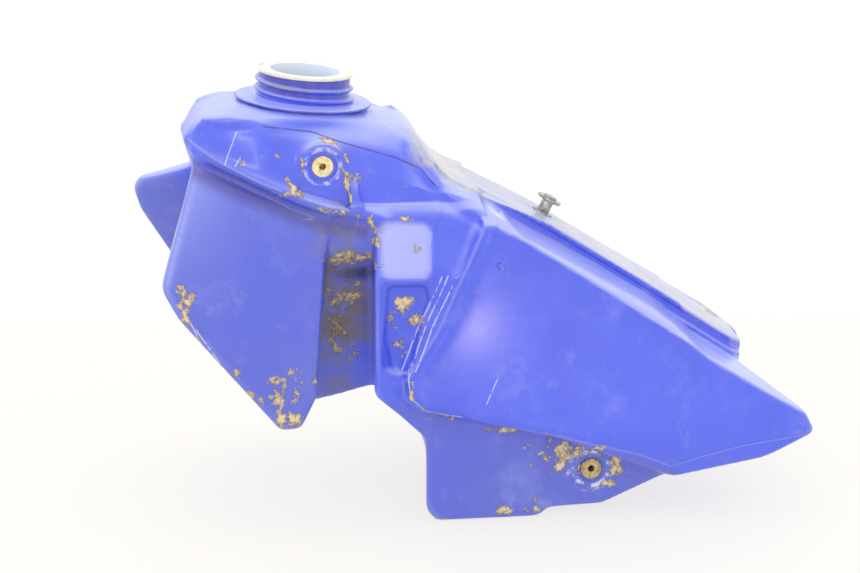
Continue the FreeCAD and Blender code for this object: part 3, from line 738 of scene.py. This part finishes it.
def wear(n):
    """Pale scratches, scuffs and flecks."""
    upright = n.ramp(n.noise(260.0, 3.0, 0.6, (1, 1, 0.07)), 0.75, 0.78)
    slanted = n.ramp(n.noise(230.0, 3.0, 0.6, (0.07, 1, 1), (3, 1, 2)), 0.75, 0.78)
    flecks = n.ramp(n.noise(520.0, 3.0, 0.7), 0.76, 0.80)
    worn = n.math("MULTIPLY", n.math("MAXIMUM", n.math("MAXIMUM", upright, slanted), flecks), 0.34)
    broken = n.ramp(n.noise(240.0, 4.0, 0.7, (1, 1, 0.3)), 0.40, 0.47)
    named = None
    marks = [(line, 0.6, 0.55) for line in GROOVE_MARKS]
    marks += [(line, 0.5, 0.6) for line in LONG_SCRATCHES]
    for line, width, amount in marks:
        mark = n.math("MULTIPLY", n.stroke(line, width, broken), amount)
        named = mark if named is None else n.math("MAXIMUM", named, mark)
    patchy = n.ramp(n.noise(150.0, 6.0, 0.7), 0.46, 0.60)
    scuffs = (("lower", 13.0, 0.75), ("lower", 16.6, 0.6), ("upper", 12.6, 0.55))
    for level, radius, amount in scuffs:
        x, _, z = INSERTS[level]
        scuff = n.math("MULTIPLY", n.ring((x, z), radius, 2.2), patchy)
        named = n.math("MAXIMUM", named, n.math("MULTIPLY", scuff, amount))
    side = n.ramp(n.add("ShaderNodeSeparateXYZ", {0: n.where}).outputs[1], -0.02, -0.03)
    return n.math("MAXIMUM", worn, n.math("MULTIPLY", named, side))


def plastic_colour(n, up, pale):
    """The blue itself: sun-faded with a painted sheen on top, worn white with a painted sheen on the
    seat, painted highlights on edges, lines and the window, hazed and shaded elsewhere.
    """
    cloud = n.noise(8.0, 4.0)
    # Upward faces are sun-faded and also painted lighter, a painted sheen from the light above.
    fade = n.math("MULTIPLY", n.ramp(up, 0.36, 0.98), n.ramp(cloud, 0.25, 0.75, 0.72, 1.0))
    # Convex edges and the pale lines get a painted highlight in the same lighter blue.
    fade = n.math("MAXIMUM", fade, n.math("MULTIPLY", n.attribute("edge"), 0.34))
    fade = n.math("MAXIMUM", fade, pale)
    haze = n.ramp(n.noise(26.0, 7.0, 0.72), 0.50, 0.80, 0.0, 0.26)
    colour = n.mix(n.ramp(cloud, 0.3, 0.7), DEEP_BLUE, FACE_BLUE)
    dust = n.math("MULTIPLY", n.attribute("dust"), n.ramp(cloud, 0.3, 0.7, 0.35, 0.75))
    colour = n.mix(dust, colour, DUSTY_BLUE)
    colour = n.mix(n.math("MAXIMUM", fade, haze), colour, FADE_AND_HIGHLIGHT_BLUE)
    # Painted sheen on the window panel.
    window = n.math("MULTIPLY", n.attribute("window"), n.ramp(cloud, 0.3, 0.7, 0.65, 0.9))
    colour = n.mix(window, colour, WINDOW_SHEEN_BLUE)
    smudges = n.ramp(n.noise(44.0, 8.0, 0.75, (1, 1, 0.7), (5, 2, 1)), 0.56, 0.74, 0.0, 0.34)
    colour = n.mix(smudges, colour, SMUDGE_BLUE)
    # The seat's upward slopes: wear streaks with a painted sheen.
    streaks = n.ramp(n.noise(34.0, 6.0, 0.65, (0.35, 1, 1)), 0.36, 0.60, 0.62, 0.95)
    colour = n.mix(n.math("MULTIPLY", n.attribute("seat"), streaks), colour, SEAT_WEAR_AND_SHEEN)
    stain = n.stroke(STAIN, 15, n.ramp(n.noise(70.0, 6.0, 0.7), 0.42, 0.62))
    stain = n.math("MULTIPLY", n.math("MULTIPLY", stain, n.attribute("seat")), 0.8)
    colour = n.mix(stain, colour, YELLOWED)
    return n.mix(n.math("MULTIPLY", n.attribute("shade"), 0.78), colour, SHADE_BLUE)


def blue_plastic():
    n = Nodes("scuffed_blue_plastic")
    facing = n.add("ShaderNodeNewGeometry").outputs["Normal"]
    up = n.add("ShaderNodeSeparateXYZ", {0: facing}).outputs[2]
    coarse = n.noise(60.0, 5.0, 0.65)
    pale, dark, relief = flank_lines(n, coarse)
    colour = plastic_colour(n, up, pale)
    worn = wear(n)
    colour = n.mix(worn, colour, WORN_WHITE)
    # Dark lines: painted shade and dirt in the shroud-edge crease, and dirt in the insert rings.
    colour = n.mix(dark, colour, LINE_SHADE_AND_DIRT)
    # Painted shade in crevices and corners, broken up by a noise.
    crevice_shade = n.math("MULTIPLY", n.attribute("crevice_shade"), n.ramp(coarse, 0.34, 0.62, 0.25, 0.75))
    colour = n.mix(crevice_shade, colour, SHADE_BLUE)
    film = n.ramp(n.noise(38.0, 8.0, 0.7), 0.40, 0.58, 0.05, 0.90)
    film = n.math("MULTIPLY", n.attribute("recess"), film)
    colour = n.mix(film, colour, OLIVE_MUD)
    thread_dirt = n.ramp(n.noise(48.0, 6.0, 0.7), 0.38, 0.56, 0.0, 0.85)
    thread_dirt = n.math("MULTIPLY", n.attribute("thread"), thread_dirt)
    colour = n.mix(thread_dirt, colour, THREAD_DIRT)
    crust = n.ramp(n.noise(130.0, 9.0, 0.70), 0.25, 0.75)
    crust = n.math("ADD", crust, n.math("MULTIPLY", n.attribute("mud"), 0.62))
    mud = n.ramp(crust, 0.97, 1.02)
    mud_colour = n.mix(n.ramp(n.noise(300.0, 5.0, 0.6), 0.34, 0.60), WET_MUD, PALE_MUD)
    mud_colour = n.mix(n.ramp(crust, 0.98, 1.12), mud_colour, PALE_MUD)
    mud_colour = n.mix(n.math("MULTIPLY", n.attribute("recess"), 0.30), mud_colour, OLIVE_MUD)
    colour = n.mix(mud, colour, mud_colour)
    colour = n.mix(n.math("MULTIPLY", n.attribute("slot"), 0.85), colour, SLOT_SHADE)
    rough = n.ramp(n.noise(40.0, 5.0, 0.6), 0.3, 0.7, 0.28, 0.42)
    rough = n.math("MAXIMUM", rough, n.math("MULTIPLY", n.math("MAXIMUM", mud, film), 0.92))
    grain = n.math("MULTIPLY", n.noise(1400.0, 2.0), 0.03)
    height = n.math("ADD", grain, n.math("MULTIPLY", n.noise(30.0, 2.0), 0.35))
    height = n.math("ADD", height, n.math("MULTIPLY", mud, n.ramp(crust, 0.97, 1.25, 0.30, 0.9)))
    height = n.math("ADD", n.math("SUBTRACT", height, n.math("MULTIPLY", worn, 0.08)), relief)
    n.put(n.surface.inputs["Coat Weight"], 0.30)
    n.put(n.surface.inputs["Coat Roughness"], 0.11)
    return n.finish(colour, rough, n.bump(height, MM, 1.0))


def turned_metal(name, dark, bright, rough, metallic):
    n = Nodes(name)
    tarnish = n.ramp(n.noise(260.0, 5.0, 0.6), 0.42, 0.78)
    rings = n.noise(1500.0, 2.0, 0.5)
    return n.finish(n.mix(tarnish, bright, dark), n.ramp(tarnish, 0, 1, rough, rough + 0.25),
                    n.bump(n.math("ADD", rings, tarnish), 0.0002, 0.4), metallic)


def pale_plastic():
    n = Nodes("aged_pale_plastic")
    stains = n.ramp(n.noise(60.0, 5.0, 0.6), 0.45, 0.75)
    colour = n.mix(stains, (0.80, 0.77, 0.60), (0.60, 0.54, 0.38))
    bore = n.add("ShaderNodeVectorMath", {0: n.where, 1: (1, 1, 0)}, operation="MULTIPLY")
    centre = tuple((NECK_BASE + NECK_UP * NECK_RIM) * MM * [1, 1, 0])
    bore = n.add("ShaderNodeVectorMath", {0: bore.outputs[0], 1: centre}, operation="DISTANCE")
    bore = bore.outputs["Value"]
    colour = n.mix(n.ramp(bore, 0.0302, 0.0308, 1.0, 0.0), colour, (0.84, 0.92, 0.96))
    specks = n.ramp(n.noise(330.0, 5.0, 0.7), 0.66, 0.70)
    colour = n.mix(specks, colour, (0.16, 0.12, 0.09))
    return n.finish(colour, 0.45, n.bump(n.noise(500.0, 3.0), 0.0003, 0.4))


def finish_hardware():
    brass = turned_metal("dull_brass", (0.42, 0.30, 0.13), (0.86, 0.72, 0.42), 0.30, 0.75)
    dirty_brass = turned_metal("dirty_brass", (0.16, 0.11, 0.06), (0.55, 0.43, 0.24), 0.42, 0.7)
    steel = turned_metal("worn_steel", (0.20, 0.18, 0.15), (0.50, 0.49, 0.47), 0.32, 0.9)
    cream = pale_plastic()
    for name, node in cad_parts.items():
        if name == "tank_shell":
            continue
        if name == "filler_neck_ring":
            material = cream
        elif name.startswith(("lower", "tap")):
            material = dirty_brass
        elif "seat_hook" in name and name != "seat_hook_insert":
            material = steel
        else:
            material = brass
        node.data.materials.clear()
        node.data.materials.append(material)
        weld = node.modifiers.new("weld", "WELD")
        weld.merge_threshold = 0.01 * MM
        bevel = node.modifiers.new("bevel", "BEVEL")
        bevel.width = 0.35 * MM
        bevel.segments = 2
        bevel.limit_method = "ANGLE"


# ---------------------------------------------------------------- stage

def plain(name, colour, roughness):
    """A pale top that glows a little, as a table does in an over-bright studio."""
    n = Nodes(name)
    n.put(n.surface.inputs["Emission Color"], (1.0, 0.975, 0.93, 1.0))
    n.put(n.surface.inputs["Emission Strength"], 0.755)
    marks = n.ramp(n.noise(20.0, 9.0, 0.75), 0.56, 0.72, 0.0, 0.35)
    tint = tuple(c * 0.82 for c in colour)
    return n.finish(n.mix(marks, colour, tint), roughness)


def stage():
    mesh = bpy.data.meshes.new("table")
    bm = bmesh.new()
    # The far edge runs at a slant behind the tank.
    corners = [(-4.0, -4.0), (4.0, -4.0), (4.0, 0.02), (-4.0, 0.86)]
    bm.faces.new([bm.verts.new((x, y, 0.0)) for x, y in corners])
    bm.to_mesh(mesh)
    table = bpy.data.objects.new("table", mesh)
    mesh.materials.append(plain("pale_table", (0.17, 0.168, 0.158), 0.7))
    bpy.context.scene.collection.objects.link(table)


def look_at(obj, location, target):
    obj.location = Vector(location) * MM
    aim = Vector(target) - Vector(location)
    obj.rotation_euler = aim.to_track_quat("-Z", "Y").to_euler()


def lamp(name, location, target, width, power, colour=(1, 1, 1)):
    light = bpy.data.lights.new(name, "AREA")
    light.shape = "SQUARE"
    light.size = width
    light.energy = power
    light.color = colour
    obj = bpy.data.objects.new(name, light)
    bpy.context.scene.collection.objects.link(obj)
    look_at(obj, location, target)


def lights_and_camera():
    world = bpy.data.worlds.new("studio")
    world.use_nodes = True
    world.node_tree.nodes["Background"].inputs[0].default_value = (1, 1, 1, 1)
    world.node_tree.nodes["Background"].inputs[1].default_value = 1.12
    bpy.context.scene.world = world
    bpy.context.scene.view_settings.view_transform = "Standard"
    lamp("ceiling", (-500, 300, 1700), (0, 0, 100), 1.2, 5)
    lamp("window", (-1100, -1500, 1300), (0, 0, 120), 0.35, 3)
    lamp("bulb", (210, -1595, 180), (0, -110, 145), 0.05, 0.42, (1.0, 0.78, 0.84))
    camera = bpy.data.objects.new("camera", bpy.data.cameras.new("camera"))
    camera.data.lens = 125.6
    camera.data.sensor_width = 36
    camera.data.clip_end = 20
    bpy.context.scene.collection.objects.link(camera)
    look_at(camera, (-320.6, -2123.1, 733.4), (-26, 0, 147))
    bpy.context.scene.camera = camera


# ---------------------------------------------------------------- build

plastic = blue_plastic()
build_shell(plastic)
build_neck(plastic)
finish_hardware()
stage()
lights_and_camera()
